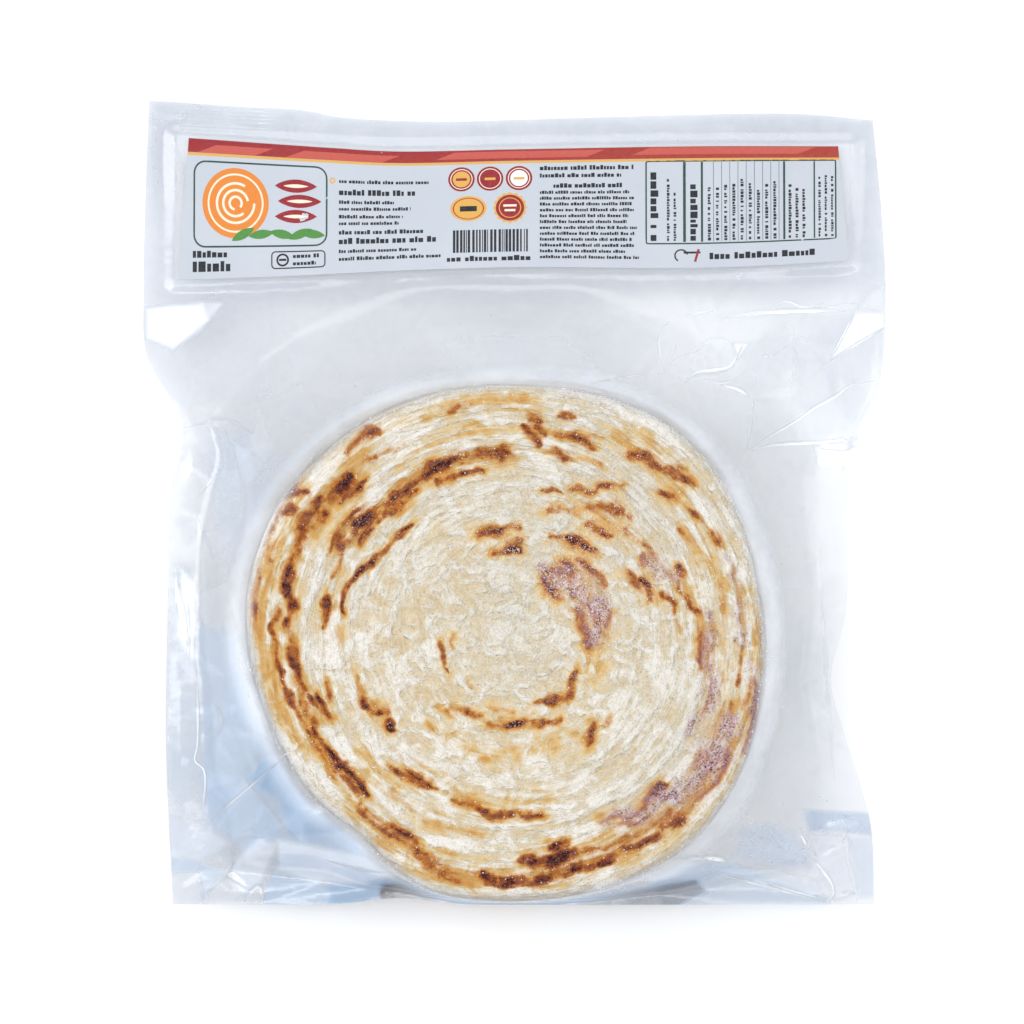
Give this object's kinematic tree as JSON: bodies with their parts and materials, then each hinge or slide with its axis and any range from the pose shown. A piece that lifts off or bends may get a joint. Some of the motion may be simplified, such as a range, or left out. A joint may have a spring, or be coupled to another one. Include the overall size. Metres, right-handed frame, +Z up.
{
  "type": "packed kerala parotta",
  "caption": "Clear heat-sealed pouch lying on its back, with a stack of round, coiled, flaky flatbreads browned in streaks, and a printed label in its flat head.",
  "frame": {"origin": "middle of the pouch's outline as seen from above, on the surface that it lies on", "axes": "+Z up, out of the shown side; +Y along the pouch towards the head with the label; +X to the right as the label is read"},
  "size_m": [0.2458, 0.2664, 0.0458],
  "materials": {
    "film": "clear glossy polyethylene and nylon film",
    "label_print": "printed coated paper",
    "bread": "layered wheat dough, browned on a griddle and frozen",
    "frost": "small ice crystals"
  },
  "bodies": {
    "root": {"bag": "film", "label": "label_print"}
  },
  "joints": []
}
